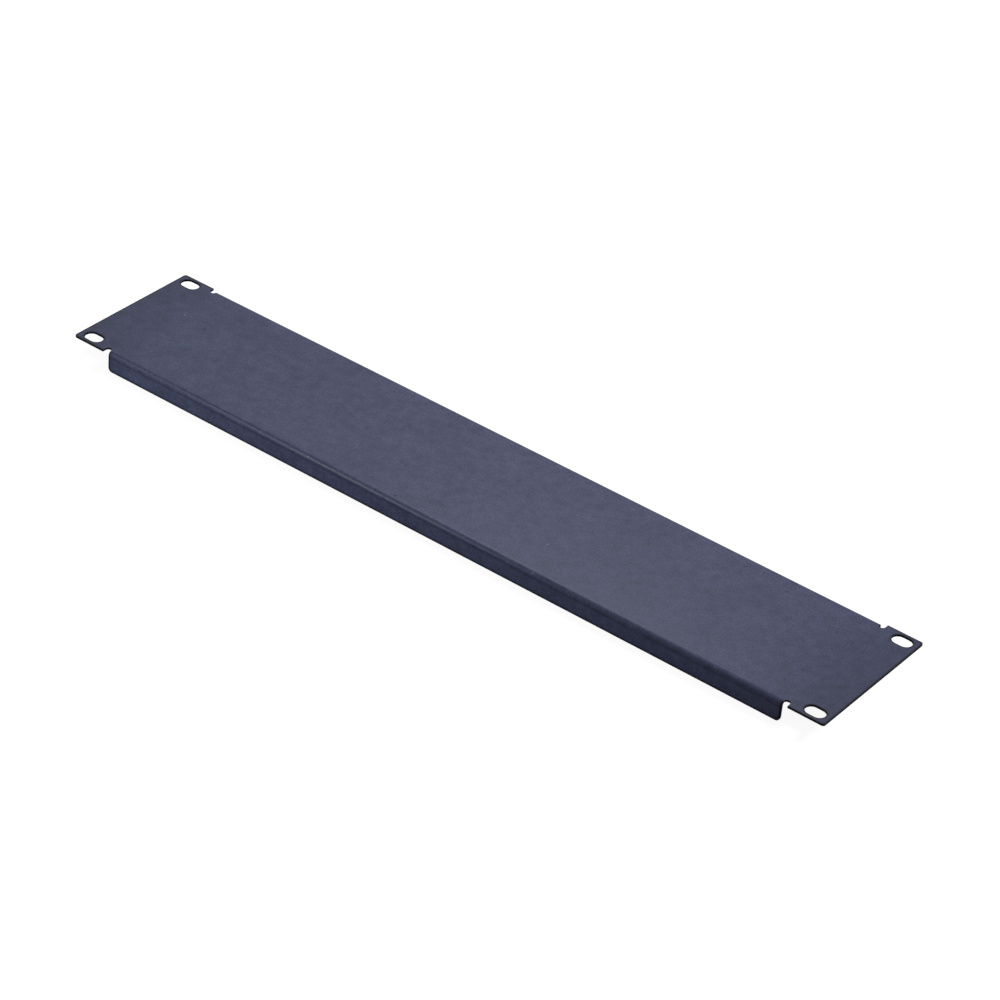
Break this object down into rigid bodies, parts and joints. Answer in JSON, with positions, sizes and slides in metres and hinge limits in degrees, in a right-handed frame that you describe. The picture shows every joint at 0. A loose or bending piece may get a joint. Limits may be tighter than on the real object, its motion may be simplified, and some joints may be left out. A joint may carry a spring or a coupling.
{
  "type": "rack blanking panel",
  "caption": "Flat folded-sheet rack panel with a flange along each long edge, slotted ears and bend reliefs, for covering unused rack space.",
  "frame": {"origin": "middle of the footprint, on the plane of the flanges' free edges", "axes": "+X along the panel's length, +Y up the rack, +Z out of the front face"},
  "size_m": [0.4826, 0.0882, 0.012],
  "materials": {
    "powder_coat": "satin, finely textured dark slate grey powder coat"
  },
  "bodies": {
    "root": {"folded_panel": "powder_coat"}
  },
  "joints": []
}
